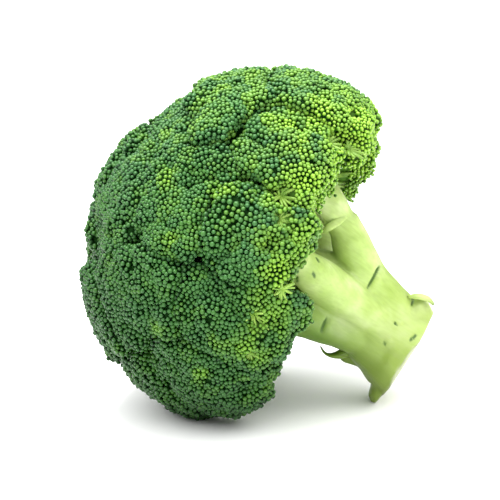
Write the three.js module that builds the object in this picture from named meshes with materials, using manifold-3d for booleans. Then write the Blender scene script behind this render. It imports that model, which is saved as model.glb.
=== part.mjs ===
// A head of broccoli as it is cut and sold: one thick pale stalk that forks into branches, and a
// domed crown of florets, each a dense dark head of flower buds on the end of its own branch.
// It lies on its side, on two florets of the crown's rim and on the lower edge of the cut stalk.
//
// The head is drawn upright first: the middle of the cut is the origin, +Z runs up the head to the
// top of the crown, +X is the side that faces up once the head lies down, and -Y is the near side.
// Millimetres throughout, and angles in degrees where a name ends in Deg.
import * as THREE from "three";
import { ConvexHull } from "three/addons/math/ConvexHull.js";
import { mergeVertices } from "three/addons/utils/BufferGeometryUtils.js";
import Module from "manifold-3d";

const wasm = await Module();
wasm.setup();

// Crown: the envelope that the florets' tips touch.
const CROWN_RADIUS = 75;
const CROWN_RISE = 70;
const CROWN_HEIGHT = 70; // middle of the envelope above the cut

// Floret: the dome of each small head, and how far it reaches inwards.
const DOME_RISE = 30; // an ellipsoid this deep along the floret, and this wide across it:
const DOME_SPREAD = 48;
const RIM_SPREAD = 40; // for the florets of the rim, which stand out more
const HEART_DEPTH = 20; // from a floret's tip in to the point that it is drawn from
const UNDERSIDE_DEPTH = 11; // from that point on to the floret's underside
const FLORET_GAP = 0.5; // between the flanks of two florets
const HEM_RADIUS = 60; // where a rim floret's lower edge is measured, out from the stalk's line
const HEM_SLOPE_DEG = 15; // the rim's underside rises this much outwards
const EDGE_ROUNDING = 18; // higher is a sharper edge between dome, flank and underside

// Buds: each one drawn larger than life, as a small peak with a valley round it.
const BUD_PITCH = 5.3;
const BUD_HEIGHT = 2.2;
const BUD_WRAP = 1.3; // how far buds go down the flanks: 1 stops them at the dome's edge
const BURIED_SHARE = 6; // one lattice point in this many is kept where no bud shows

// Stalk: the stem's middle line from below the cut to the top fork, and its radius at each point.
const STEM_LINE = [
  [-4.7, 0, -8],
  [-1.9, 0, 8],
  [1.2, 0, 22],
  [4.2, 0, 38],
  [2.4, 0, 58],
  [0, 0, 80],
];
const STEM_RADII = [19.5, 16.6, 15, 13.5, 10, 7];
const FORK_HEIGHT = 36;
const CUT_HEIGHT = -2; // the cut goes through the stem's line here
const CUT_TILT_DEG = 2; // the knife's slant, which turns the cut towards the near side
const BRANCH_RADII = [8, 10, 9.2, 8, 6.2];
const TWIG_RADII = [5.6, 4.6, 4.2, 6];
const TWIG_INSERT = 6; // how far a twig's flared end goes into its floret
const STEM_SIDES = 18;
const BRANCH_SIDES = 11;
const TWIG_SIDES = 7;
const SOCKET_GAP = 0.35; // between a branch and the floret that sits on it

// How the head lies.
const LEAN_DEG = 56.3; // from upright, over towards the florets that it rests on
const FLOOR_DROP = 23.2; // from the middle of the cut down to the table

const SLIVER = 0.02; // details smaller than this are left out of a cut body

const rad = THREE.MathUtils.degToRad;

// Florets: [polar angle from the crown's top, angle round it from +X, share of the full dome],
// and for the rim's florets the height of their lower edge above the cut.
const FLORETS = {
  rim_01: [77, -13, 1.03, 57],
  rim_02: [76, -43, 0.98, 64],
  rim_03: [81, -75, 0.97, 59],
  rim_04: [89, -103, 0.96, 46],
  rim_05: [92, -128, 0.96, 42],
  rim_06: [81, -154, 0.97, 49],
  rim_07: [81, 156, 0.95, 50],
  rim_08: [92, 129, 0.97, 45],
  rim_09: [90, 102, 1, 48],
  rim_10: [88, 76, 1, 48],
  rim_11: [86, 46, 1, 49.5],
  rim_12: [78, 16, 1.03, 55],
  shoulder_01: [49, -30, 1.03],
  shoulder_02: [52, -76, 0.98],
  shoulder_03: [60, -118, 0.98],
  shoulder_04: [53, -157, 1],
  shoulder_05: [53, 160, 0.98],
  shoulder_06: [56, 118, 1],
  shoulder_07: [56, 72, 1.01],
  shoulder_08: [50, 24, 1.02],
  upper_01: [30, -98, 0.99],
  upper_02: [30, -42, 0.96],
  upper_03: [27, 35, 0.975],
  upper_04: [30, 105, 0.99],
  upper_05: [25, 178, 0.99],
  top: [3, 0, 1.02],
};

// Branches: [angle round the stem from +X, height at which it leaves the stem]. Each one takes the
// same path: [distance from the stem's line, height above where it leaves].
const BRANCH_PATH = [
  [5, -20],
  [8.5, -4],
  [14, 10],
  [23, 23],
  [31, 33],
];
const BRANCHES = {
  branch_1: [-8, 17],
  branch_2: [-68, 26],
  branch_3: [-122, 28],
  branch_4: [-178, 38],
  branch_5: [126, 30],
  branch_6: [62, 25],
};

// Leaf bases: where leaf stalks were cut off, each a low ridge that climbs the stem and ends in
// a step. [angle round the stem from +X, height of the step, half width, how far it stands out].
const LEAF_BASES = {
  leaf_1: [-15, 23, 5, 2.6],
  leaf_2: [-150, 32, 5, 2.6],
  leaf_3: [178, 21, 4.5, 5.5],
  leaf_4: [180, 2, 8, 7],
  leaf_5: [4, 7, 9, 6],
  leaf_6: [-101, 7, 12, 2.4],
  leaf_7: [92, 14, 10, 3],
  leaf_8: [130, 30, 5, 2.4],
};
const LEAF_BASE_RISE = 17; // from where a ridge leaves the stem's skin up to its step
const LEAF_BASE_DEPTH = 7; // from its outer face in to its middle, inside the stem
const LEAF_BASE_SIDES = 10;

const CROWN_MIDDLE = new THREE.Vector3(0, 0, CROWN_HEIGHT);
const FORK = new THREE.Vector3(0, 0, FORK_HEIGHT);

function direction(polarDeg, turnDeg) {
  const polar = rad(polarDeg);
  const turn = rad(turnDeg);
  return new THREE.Vector3(
    Math.sin(polar) * Math.cos(turn),
    Math.sin(polar) * Math.sin(turn),
    Math.cos(polar),
  );
}

// One floret's named points and directions, before its neighbours are known.
function plantFloret([name, [polarDeg, turnDeg, share, hemHeight]]) {
  const outward = direction(polarDeg, turnDeg);
  const tip = outward
    .clone()
    .multiply(new THREE.Vector3(CROWN_RADIUS, CROWN_RADIUS, CROWN_RISE))
    .multiplyScalar(share)
    .add(CROWN_MIDDLE);
  const growth = tip.clone().sub(FORK).normalize();
  const heart = tip.clone().addScaledVector(outward, -HEART_DEPTH);
  const domeMiddle = tip.clone().addScaledVector(outward, -DOME_RISE);
  const flanks = [];
  if (hemHeight !== undefined) {
    const normal = direction(180 - HEM_SLOPE_DEG, turnDeg);
    const hem = direction(90, turnDeg).multiplyScalar(HEM_RADIUS).setZ(hemHeight);
    flanks.push({ normal, away: hem.sub(heart).dot(normal) });
  }
  const spread = hemHeight === undefined ? DOME_SPREAD : RIM_SPREAD;
  return { name, outward, tip, growth, heart, domeMiddle, spread, flanks };
}

const florets = Object.entries(FLORETS).map(plantFloret);

// The flank between two florets is the plane midway between their tips.
for (const floret of florets) {
  for (const other of florets.filter((one) => one !== floret)) {
    const normal = other.tip.clone().sub(floret.tip).normalize();
    const midpoint = floret.tip.clone().add(other.tip).multiplyScalar(0.5);
    const away = midpoint.sub(floret.heart).dot(normal) - FLORET_GAP / 2;
    floret.flanks.push({ normal, away });
  }
}

// Distance from a floret's heart out to its dome: where the ray meets an ellipsoid that is
// DOME_RISE deep along outward and the floret's spread wide across it.
function domeReach(floret, ray) {
  const squash = (v) => {
    const along = v.dot(floret.outward);
    const across = v.clone().addScaledVector(floret.outward, -along);
    return across
      .divideScalar(floret.spread)
      .addScaledVector(floret.outward, along / DOME_RISE);
  };
  const start = squash(floret.heart.clone().sub(floret.domeMiddle));
  const step = squash(ray);
  const a = step.lengthSq();
  const b = start.dot(step);
  const c = start.lengthSq() - 1;
  return (-b + Math.sqrt(b * b - a * c)) / a;
}

// Distance from a floret's heart to its nearest flank or underside along a ray.
function flankReaches(floret, ray) {
  const reaches = floret.flanks
    .map(({ normal, away }) => away / Math.max(ray.dot(normal), 1e-6))
    .filter((reach) => reach < 1000);
  const down = -ray.dot(floret.growth);
  if (down > 0.01) reaches.push(UNDERSIDE_DEPTH / down);
  return reaches;
}

// The floret's surface along a ray: the least of dome, flanks and underside, with rounded edges.
function surfaceReach(floret, ray) {
  const dome = domeReach(floret, ray);
  const sides = flankReaches(floret, ray);
  const sum = [dome, ...sides].reduce((all, reach) => all + reach ** -EDGE_ROUNDING, 0);
  return { reach: sum ** (-1 / EDGE_ROUNDING), shows: dome < BUD_WRAP * Math.min(...sides) };
}

// Rays spread evenly over the sphere on a golden-angle spiral that starts at the floret's tip.
function latticeRays(floret) {
  const spacing = BUD_PITCH / (HEART_DEPTH * 1.15);
  const count = Math.round((4 * Math.PI) / (0.866 * spacing * spacing));
  const goldenAngle = Math.PI * (3 - Math.sqrt(5));
  const turn = new THREE.Quaternion().setFromUnitVectors(
    new THREE.Vector3(0, 0, 1),
    floret.outward,
  );
  return Array.from({ length: count }, (_, i) => {
    const height = 1 - (2 * i + 1) / count;
    const across = Math.sqrt(1 - height * height);
    const angle = i * goldenAngle;
    return new THREE.Vector3(across * Math.cos(angle), across * Math.sin(angle), height)
      .applyQuaternion(turn);
  });
}

// A floret's skin: a triangulated sphere of rays, each pushed out to the surface. Where three
// buds meet there is a valley vertex, and each edge between two buds is turned to join valleys.
function floretGeometry(floret) {
  const points = [];
  latticeRays(floret).forEach((ray, i) => {
    const { reach, shows } = surfaceReach(floret, ray);
    if (shows || i % BURIED_SHARE === 0) points.push({ ray, reach, bud: shows });
  });
  const hull = new ConvexHull().setFromPoints(points.map(({ ray }) => ray));
  const number = new Map(points.map(({ ray }, i) => [ray, i]));
  const triangles = hull.faces.map((face) => {
    const corners = [];
    let edge = face.edge;
    do {
      corners.push(number.get(edge.head().point));
      edge = edge.next;
    } while (edge !== face.edge);
    return corners;
  });

  const positions = points.map(({ ray, reach }) => ray.clone().multiplyScalar(reach));
  const faces = [];
  const besideEdge = new Map();
  for (const [a, b, c] of triangles) {
    if (![a, b, c].every((corner) => points[corner].bud)) {
      faces.push([a, b, c]);
      continue;
    }
    const ray = new THREE.Vector3();
    for (const corner of [a, b, c]) ray.add(points[corner].ray);
    ray.normalize();
    const valley = positions.length;
    positions.push(ray.multiplyScalar(surfaceReach(floret, ray).reach - BUD_HEIGHT));
    besideEdge.set(`${a} ${b}`, valley);
    besideEdge.set(`${b} ${c}`, valley);
    besideEdge.set(`${c} ${a}`, valley);
  }
  for (const [edge, valley] of besideEdge) {
    const [a, b] = edge.split(" ").map(Number);
    const across = besideEdge.get(`${b} ${a}`);
    faces.push(across === undefined ? [a, b, valley] : [a, across, valley]);
  }

  const geometry = new THREE.BufferGeometry();
  geometry.setFromPoints(positions.map((p) => p.add(floret.heart)));
  geometry.setIndex(faces.flat());
  return geometry;
}

// A closed geometry from rings of points that each hold the same number, with a fan at each end.
function skinRings(rings) {
  const sides = rings[0].length;
  const positions = rings.flat();
  const faces = [];
  for (let ring = 0; ring + 1 < rings.length; ring += 1) {
    for (let side = 0; side < sides; side += 1) {
      const a = ring * sides + side;
      const b = ring * sides + ((side + 1) % sides);
      faces.push([a, b, b + sides], [a, b + sides, a + sides]);
    }
  }
  const middle = (ring) =>
    ring.reduce((sum, p) => sum.add(p), new THREE.Vector3()).divideScalar(sides);
  const first = positions.push(middle(rings[0])) - 1;
  const last = positions.push(middle(rings.at(-1))) - 1;
  const lastRing = (rings.length - 1) * sides;
  for (let side = 0; side < sides; side += 1) {
    const next = (side + 1) % sides;
    faces.push([first, next, side], [last, lastRing + side, lastRing + next]);
  }
  const geometry = new THREE.BufferGeometry().setFromPoints(positions);
  geometry.setIndex(faces.flat());
  return geometry;
}

// A round limb along a smooth line through points, its radius eased from one point to the next.
function limbGeometry(points, radii, sides, steps, grow = 0) {
  const line = new THREE.CatmullRomCurve3(points, false, "centripetal");
  const { normals, binormals, tangents } = line.computeFrenetFrames(steps, false);
  const rings = normals.map((normal, i) => {
    const along = i / steps;
    const place = along * (radii.length - 1);
    const before = Math.min(Math.floor(place), radii.length - 2);
    const radius = THREE.MathUtils.lerp(radii[before], radii[before + 1], place - before) + grow;
    const centre = line.getPoint(along);
    if (i === 0) centre.addScaledVector(tangents[0], -grow);
    if (i === steps) centre.addScaledVector(tangents[steps], grow);
    return Array.from({ length: sides }, (_, side) => {
      const angle = (side / sides) * 2 * Math.PI;
      return centre
        .clone()
        .addScaledVector(normal, radius * Math.cos(angle))
        .addScaledVector(binormals[i], radius * Math.sin(angle));
    });
  });
  return skinRings(rings);
}

function solidOf(geometry) {
  const bare = new THREE.BufferGeometry();
  bare.setAttribute("position", geometry.getAttribute("position"));
  bare.setIndex(geometry.index);
  const merged = mergeVertices(bare, 1e-4);
  return new wasm.Manifold(
    new wasm.Mesh({
      numProp: 3,
      vertProperties: merged.getAttribute("position").array,
      triVerts: new Uint32Array(merged.index.array),
    }),
  );
}

function geometryOf(solid) {
  const { vertProperties, triVerts, numProp } = solid.getMesh();
  const geometry = new THREE.BufferGeometry();
  const position = new THREE.InterleavedBuffer(vertProperties, numProp);
  geometry.setAttribute("position", new THREE.InterleavedBufferAttribute(position, 3, 0));
  geometry.setIndex(new THREE.BufferAttribute(triVerts, 1));
  return geometry;
}

// The points of a branch: inside the stem below where it leaves, then out and up to its fork.
function branchPoints([turnDeg, leaves]) {
  return BRANCH_PATH.map(([out, up]) =>
    direction(90, turnDeg).multiplyScalar(out).setZ(leaves + up),
  );
}

const branches = Object.values(BRANCHES).map(branchPoints);
const leader = STEM_LINE.map((p) => new THREE.Vector3(...p));

// A twig runs from the fork nearest to its floret into the floret's underside.
function twigPoints(floret) {
  const fromLeader = floret.name.startsWith("upper") || floret.name === "top";
  const limb = fromLeader
    ? leader
    : branches.reduce((best, one) =>
        one.at(-1).angleTo(floret.tip) < best.at(-1).angleTo(floret.tip) ? one : best,
      );
  const [before, fork] = limb.slice(-2);
  const start = fork.clone().lerp(before, 0.6);
  const reach = UNDERSIDE_DEPTH - TWIG_INSERT;
  const end = floret.heart.clone().addScaledVector(floret.growth, -reach);
  const swing = start.distanceTo(end) / 3;
  const leaving = fork.clone().sub(before).setLength(swing).add(start);
  const entering = end.clone().addScaledVector(floret.growth, -swing);
  return [start, leaving.lerp(entering, 0.3), entering.lerp(leaving, 0.1), end];
}

// The stem's radius and the middle of it at a height above the cut.
function stemAt(height) {
  const next = Math.max(1, STEM_LINE.findIndex(([, , z]) => z > height));
  const [low, high] = [STEM_LINE[next - 1], STEM_LINE[next]];
  const share = (height - low[2]) / (high[2] - low[2]);
  const middle = new THREE.Vector3(...low).lerp(new THREE.Vector3(...high), share);
  return { middle, radius: THREE.MathUtils.lerp(STEM_RADII[next - 1], STEM_RADII[next], share) };
}

// A leaf's base: four rings of [height, how far it stands out from the stem's skin, share of the
// half width], each bent round the stem, with its inner half well inside the stem.
function leafBaseGeometry([turnDeg, height, halfWidth, proud]) {
  const outwards = direction(90, turnDeg);
  const sideways = direction(90, turnDeg + 90);
  const sections = [
    [height - LEAF_BASE_RISE, -2, 0.6],
    [height - LEAF_BASE_RISE / 2, 0.3 * proud, 0.9],
    [height - 2, proud, 1],
    [height, 0.7 * proud, 0.85],
  ];
  const rings = sections.map(([z, out, widthShare]) => {
    const { middle, radius } = stemAt(Math.max(z, STEM_LINE[0][2]));
    const centre = middle.setZ(z).addScaledVector(outwards, radius + out - LEAF_BASE_DEPTH);
    return Array.from({ length: LEAF_BASE_SIDES }, (_, side) => {
      const angle = (side / LEAF_BASE_SIDES) * 2 * Math.PI;
      const across = halfWidth * widthShare * Math.sin(angle);
      const bend = (across * across) / (2 * radius);
      return centre
        .clone()
        .addScaledVector(sideways, across)
        .addScaledVector(outwards, LEAF_BASE_DEPTH * Math.cos(angle) - bend);
    });
  });
  return skinRings(rings);
}

function stalkSolid(grow) {
  const parts = [
    solidOf(limbGeometry(leader, STEM_RADII, STEM_SIDES, 12, grow)),
    ...branches.map((points) => solidOf(limbGeometry(points, BRANCH_RADII, BRANCH_SIDES, 8, grow))),
    ...florets.map((floret) =>
      solidOf(limbGeometry(twigPoints(floret), TWIG_RADII, TWIG_SIDES, 4, grow)),
    ),
  ];
  if (grow === 0) parts.push(...Object.values(LEAF_BASES).map(leafBaseGeometry).map(solidOf));
  return parts.reduce((all, one) => all.add(one));
}

// The knife that cut the stalk, and the table: boxes that take away what is beyond their face.
function knifeSolid(facing, through) {
  const size = 300;
  const box = new THREE.BoxGeometry(size, size, size);
  box.applyQuaternion(
    new THREE.Quaternion().setFromUnitVectors(new THREE.Vector3(0, 0, 1), facing),
  );
  box.translate(...through.clone().addScaledVector(facing, -size / 2));
  return solidOf(box);
}

const cutFacing = direction(CUT_TILT_DEG, 90);
const knife = knifeSolid(cutFacing, new THREE.Vector3(0, 0, CUT_HEIGHT));
const upwards = direction(LEAN_DEG, 0);
const table = knifeSolid(upwards, upwards.clone().multiplyScalar(-FLOOR_DROP));

// The one body that is left after the cuts, without loose crumbs or slivers.
const cleaned = (solid) =>
  solid
    .decompose()
    .reduce((best, one) => (one.volume() > best.volume() ? one : best))
    .simplify(SLIVER);

const stalkColour = new THREE.MeshStandardMaterial({ color: 0xb9d67a, roughness: 0.5 });
const budColour = new THREE.MeshStandardMaterial({ color: 0x3f6f3a, roughness: 0.6 });

const head = new THREE.Group();
function place(name, solid, material) {
  const mesh = new THREE.Mesh(geometryOf(solid), material);
  mesh.name = name;
  head.add(mesh);
}

place("stalk", cleaned(stalkSolid(0).subtract(knife).subtract(table)), stalkColour);
const sockets = stalkSolid(SOCKET_GAP);
for (const floret of florets) {
  const solid = solidOf(floretGeometry(floret)).subtract(sockets).subtract(table);
  place(`floret_${floret.name}`, cleaned(solid), budColour);
}
head.rotation.y = -rad(LEAN_DEG);
head.position.z = FLOOR_DROP;

// The box round the head is centred on the origin, and the table is at Z = 0.
const laid = new THREE.Group();
laid.add(head);
laid.updateMatrixWorld(true);
const middleOfBox = new THREE.Box3().setFromObject(laid, true).getCenter(new THREE.Vector3());
head.position.x -= middleOfBox.x;
head.position.y -= middleOfBox.y;
export default laid;
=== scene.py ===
"""A head of broccoli lying on its side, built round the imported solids."""
import math

import bpy
import numpy as np
from mathutils import Matrix, Vector


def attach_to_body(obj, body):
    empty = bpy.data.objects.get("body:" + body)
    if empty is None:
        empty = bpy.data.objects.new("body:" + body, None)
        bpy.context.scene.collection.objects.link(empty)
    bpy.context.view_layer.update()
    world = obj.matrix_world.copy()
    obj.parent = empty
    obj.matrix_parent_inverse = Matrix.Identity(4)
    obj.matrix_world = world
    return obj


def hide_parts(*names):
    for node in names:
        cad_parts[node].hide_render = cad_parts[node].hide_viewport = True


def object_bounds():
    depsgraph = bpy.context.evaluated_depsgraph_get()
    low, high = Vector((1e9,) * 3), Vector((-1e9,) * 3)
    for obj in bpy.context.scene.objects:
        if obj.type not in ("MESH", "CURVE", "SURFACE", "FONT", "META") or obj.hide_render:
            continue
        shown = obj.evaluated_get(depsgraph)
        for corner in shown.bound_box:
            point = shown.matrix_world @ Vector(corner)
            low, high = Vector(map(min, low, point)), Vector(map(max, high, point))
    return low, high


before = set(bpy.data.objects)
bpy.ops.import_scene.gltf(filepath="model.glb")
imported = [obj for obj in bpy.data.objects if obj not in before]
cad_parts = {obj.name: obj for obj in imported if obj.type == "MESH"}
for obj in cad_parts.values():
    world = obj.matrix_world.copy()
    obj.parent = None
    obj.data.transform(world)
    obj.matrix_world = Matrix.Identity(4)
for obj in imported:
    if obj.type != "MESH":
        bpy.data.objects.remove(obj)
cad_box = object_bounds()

# Crown plan. Broccoli is one stem that forks again and again, and every fork ends in a floret of
# flower buds. The plan says where each floret's tip stands on the crown, in head millimetres: the
# middle of the cut is the origin, +Z goes up the head, +X is up once it lies down, -Y is near.
# CROWN_SIZE is the crown's three half sizes. LEAN and HEAD_PLACE lay the head on its side. A
# floret's heart lies HEART_DEPTH under its tip and UNDERSIDE_DEPTH over its underside, and its dome
# is an ellipsoid under the tip, with DOME_RISE and a spread as half sizes. The lower edge of a rim
# floret is a plane that slopes by HEM_SLOPE and has its given height at HEM_RADIUS from the axis.
CROWN_SIZE = np.array([75.0, 75.0, 70.0])
CROWN_MIDDLE = np.array([0.0, 0.0, 70.0])
TOP_FORK = np.array([0.0, 0.0, 36.0])
LEAN = math.radians(56.3)
HEAD_PLACE = np.array([59.323, -1.371, 23.2])
HEART_DEPTH = 20.0
UNDERSIDE_DEPTH = 11.0
DOME_RISE = 30.0
DOME_SPREAD = 48.0
RIM_SPREAD = 40.0
HEM_RADIUS = 60.0
HEM_SLOPE = 15.0
# Name: polar angle from the top, angle round from +X, share of the full dome, and for the rim the
# height of its lower edge.
FLORETS = {
    "rim_01": (77, -13, 1.03, 57),
    "rim_02": (76, -43, 0.98, 64),
    "rim_03": (81, -75, 0.97, 59),
    "rim_04": (89, -103, 0.96, 46),
    "rim_05": (92, -128, 0.96, 42),
    "rim_06": (81, -154, 0.97, 49),
    "rim_07": (81, 156, 0.95, 50),
    "rim_08": (92, 129, 0.97, 45),
    "rim_09": (90, 102, 1.0, 48),
    "rim_10": (88, 76, 1.0, 48),
    "rim_11": (86, 46, 1.0, 49.5),
    "rim_12": (78, 16, 1.03, 55),
    "shoulder_01": (49, -30, 1.03, None),
    "shoulder_02": (52, -76, 0.98, None),
    "shoulder_03": (60, -118, 0.98, None),
    "shoulder_04": (53, -157, 1.0, None),
    "shoulder_05": (53, 160, 0.98, None),
    "shoulder_06": (56, 118, 1.0, None),
    "shoulder_07": (56, 72, 1.01, None),
    "shoulder_08": (50, 24, 1.02, None),
    "upper_01": (30, -98, 0.99, None),
    "upper_02": (30, -42, 0.96, None),
    "upper_03": (27, 35, 0.975, None),
    "upper_04": (30, 105, 0.99, None),
    "upper_05": (25, 178, 0.99, None),
    "top": (3, 0, 1.02, None),
}


def direction(polar, turn):
    """The unit vector at that angle from +Z and that angle round it from +X, in degrees."""
    polar, turn = math.radians(polar), math.radians(turn)
    return np.array(
        [math.sin(polar) * math.cos(turn), math.sin(polar) * math.sin(turn), math.cos(polar)]
    )


def unit(vectors):
    """Each vector divided by its length."""
    return vectors / np.maximum(np.linalg.norm(vectors, axis=-1, keepdims=True), 1e-9)


def lay_down(points):
    """Head millimetres to frame metres: turned about Y by the lean, moved to its place, scaled."""
    x, y, z = np.moveaxis(points, -1, 0)
    c, s = math.cos(LEAN), math.sin(LEAN)
    return (np.stack([x * c - z * s, y, x * s + z * c], -1) + HEAD_PLACE) / 1000


class Floret:
    """Where one floret stands: its tip, the way it faces and the way its twig grows into it."""

    def __init__(self, name, polar, turn, share, hem):
        self.name = name
        self.outward = direction(polar, turn)
        self.tip = self.outward * CROWN_SIZE * share + CROWN_MIDDLE
        self.growth = unit(self.tip - TOP_FORK)
        self.heart = self.tip - HEART_DEPTH * self.outward
        self.spread = RIM_SPREAD if hem else DOME_SPREAD
        self.hem = hem
        self.hem_normal = direction(180 - HEM_SLOPE, turn)
        self.hem_point = direction(90, turn) * HEM_RADIUS + np.array([0, 0, hem or 0])


florets = [Floret(name, *row) for name, row in FLORETS.items()]

# Stalk. The stem, its six branches and the twigs that go into the florets are one growth of pale,
# juicy tissue under a thin waxy skin, cut across with a knife. Round limbs on smooth lines are run
# together at the forks, then the skin gets its ribs, leaf scars and the flat of the cut.
STEM_LINE = np.array(
    [[-4.7, 0, -8], [-1.9, 0, 8], [1.2, 0, 22], [4.2, 0, 38], [2.4, 0, 58], [0, 0, 80]], float
)
STEM_RADII = [19.5, 16.6, 15, 13.5, 10, 7]
# A branch's line, as distances out from the head's axis and up from where it leaves the stem, and
# each branch's angle round the stem and the height at which it leaves.
BRANCH_PATH = [(5, -20), (8.5, -4), (14, 10), (23, 23), (31, 33)]
BRANCH_RADII = [8, 10, 9.2, 8, 6.2]
BRANCHES = [(-8, 17), (-68, 26), (-122, 28), (-178, 38), (126, 30), (62, 25)]
TWIG_RADII = [5.6, 4.6, 4.2, 6]
TWIG_INSERT = 6.0
# How much wider a twig is drawn here than in the solids.
TWIG_WIDER = 0.35
# The knife's two planes: each has a point that it goes through and its tilt off square.
CUT_POINT = np.array([0.0, 0.0, -2.0])
CUT_TILT = 2.0
TRIM_TILT = 30.0
TRIM_POINT = np.array([0.0, -19.0, 0.6])
# Leaf bases: angle round the stem, height of the step, half width, how far it stands out.
LEAF_BASES = [
    (-15, 23, 5, 2.6),
    (-150, 32, 5, 2.6),
    (178, 21, 4.5, 5.5),
    (180, 2, 8, 7),
    (4, 7, 9, 6),
    (-101, 7, 12, 1.2),
    (92, 14, 10, 3),
    (130, 30, 5, 2.4),
]
# Leaf scars: angle round the stem, height, half length, slant in degrees, depth.
SCARS = [
    (-26, 27.5, 5.2, 0, 1.2),
    (-109, 34.6, 3.4, 8, 1.3),
    (-64, 1.6, 2.4, -15, 0.8),
    (-60, 51, 1.5, 60, 1.2),
    (-71, 49.3, 1.5, 60, 1.0),
    (-80, 54, 1.6, 40, 1.0),
    (-60, 10.3, 0.9, 50, 1.0),
    (-93, 10, 0.8, 70, 0.9),
    (-4, 8.5, 5, 5, 1.2),
    (180, 4, 5, 0, 1.2),
    (178, 23, 3, 0, 1.3),
    (98, 17, 6, -4, 1.2),
    (130, 32, 3.4, 12, 1.4),
    (60, 38, 2.6, -20, 1.2),
    (35, 24, 2.2, 15, 1.1),
]
LEAF_BASE_RISE = 17.0
LEAF_BASE_DEPTH = 7.0
# The skin's ribs, broad lumps and grain: how far they stand out, and the length of their waves.
# They fade over STEM_FADE below STEM_END to a share of that on the branches.
RIB_HEIGHT, RIB_LENGTH = 0.36, 11
LUMP_HEIGHT, LUMP_LENGTH = 0.34, 17
GRAIN_HEIGHT, GRAIN_LENGTH = 0.03, 2.6
STEM_END = 46
STEM_FADE = 14
BRANCH_RELIEF = 0.35
# How wide a scar's slit and its lip are and how far the lip lies below it, how far the lip stands
# out as a share of the slit's depth, and how much the slit bends towards its ends.
SLIT_WIDTH = 0.5
LIP_WIDTH = 1.3
LIP_BELOW = 2.0
LIP_SHARE = 0.5
SLIT_BEND = 0.02
# The knife reaches only this far up the head, and its mark fades over this depth.
KNIFE_REACH = 20.0
KNIFE_FADE = 0.5
PITH_MIDDLE = np.array([-3.8, 0.0])
PITH_RADIUS = 18.5
VOXEL = 0.84


def smooth_line(points, count):
    """A Catmull-Rom line through the points: between two of them it is the cubic whose slope at
    each is half the step from the point before to the point after."""
    points = np.asarray(points, float)
    padded = np.concatenate([[2 * points[0] - points[1]], points, [2 * points[-1] - points[-2]]])
    place = np.linspace(0, len(points) - 1, count)
    k = np.minimum(place.astype(int), len(points) - 2)
    t = (place - k)[:, None]
    a, b, c, d = (padded[k + i] for i in range(4))
    return 0.5 * (
        2 * b + (c - a) * t + (2 * a - 5 * b + 4 * c - d) * t**2 + (3 * b - a - 3 * c + d) * t**3
    )


def close_rings(rings):
    """Vertices and faces of a skin over rings of points, shut with a middle point at each end."""
    count, sides = rings.shape[:2]
    verts = np.concatenate([rings.reshape(-1, 3), [rings[0].mean(0)], [rings[-1].mean(0)]])
    ring, side = np.meshgrid(np.arange(count - 1), np.arange(sides), indexing="ij")
    a = (ring * sides + side).ravel()
    b = (ring * sides + (side + 1) % sides).ravel()
    quads = np.stack([a, b, b + sides, a + sides], 1)
    s = np.arange(sides)
    n = (s + 1) % sides
    last = (count - 1) * sides
    first_fan = np.stack([np.full(sides, count * sides), n, s], 1)
    last_fan = np.stack([np.full(sides, count * sides + 1), last + s, last + n], 1)
    return verts, quads, np.concatenate([first_fan, last_fan])


def limb_rings(line, radii, sides):
    """Circles square to a line, with radii that run evenly from one given value to the next."""
    tangent = unit(np.gradient(line, axis=0))
    side = np.cross(tangent[0], tangent[-1])
    if np.linalg.norm(side) < 0.05:
        side = np.cross(tangent[0], [0.31, 0.87, 0.21])
    u = unit(np.cross(tangent, side))
    v = np.cross(tangent, u)
    radius = np.interp(np.linspace(0, 1, len(line)), np.linspace(0, 1, len(radii)), radii)
    angle = np.arange(sides) / sides * 2 * math.pi
    circle = np.cos(angle)[None, :, None] * u[:, None] + np.sin(angle)[None, :, None] * v[:, None]
    return line[:, None] + radius[:, None, None] * circle


def merge(parts):
    """Several (vertices, quads, triangles) as one, with the corners counted on."""
    verts, quads, tris, base = [], [], [], 0
    for v, q, t in parts:
        verts.append(v)
        quads.append(q + base)
        tris.append(t + base)
        base += len(v)
    return np.concatenate(verts), np.concatenate(quads), np.concatenate(tris)


def make_mesh(name, verts, quads, tris, smooth=True):
    """A mesh object from arrays of points, four-cornered faces and three-cornered faces."""
    mesh = bpy.data.meshes.new(name)
    loops = np.concatenate([quads.ravel(), tris.ravel()]).astype(np.int32)
    starts = np.concatenate(
        [np.arange(len(quads)) * 4, len(quads) * 4 + np.arange(len(tris)) * 3]
    ).astype(np.int32)
    mesh.vertices.add(len(verts))
    mesh.vertices.foreach_set("co", np.ascontiguousarray(verts, np.float32).ravel())
    mesh.loops.add(len(loops))
    mesh.loops.foreach_set("vertex_index", loops)
    mesh.polygons.add(len(starts))
    mesh.polygons.foreach_set("loop_start", starts)
    mesh.update(calc_edges=True)
    mesh.polygons.foreach_set("use_smooth", np.full(len(starts), smooth))
    piece = bpy.data.objects.new(name, mesh)
    bpy.context.scene.collection.objects.link(piece)
    return piece


def attach(piece, **values):
    """Stores one number, or one vector, for each vertex under a name that materials can read."""
    for name, data in values.items():
        data = np.asarray(data, np.float32)
        kind, field = ("FLOAT_VECTOR", "vector") if data.ndim == 2 else ("FLOAT", "value")
        attribute = piece.data.attributes.new(name, kind, "POINT")
        attribute.data.foreach_set(field, np.ascontiguousarray(data).ravel())


def waves(points, scale, count, seed, stretch=(1.0, 1.0, 1.0)):
    """Smooth noise round 0 with a spread of 0.7: the sum of sine waves in random directions over
    the root of their count. A wave's length is about the scale in millimetres, and longer along an
    axis whose stretch is over 1."""
    random = np.random.default_rng(seed)
    ways = unit(random.normal(size=(count, 3))) * random.uniform(0.7, 1.4, (count, 1))
    ways = ways / np.asarray(stretch) * 2 * math.pi / scale
    phase = random.uniform(0, 2 * math.pi, count)
    return np.sin(points @ ways.T + phase).sum(-1) / math.sqrt(count)


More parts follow.
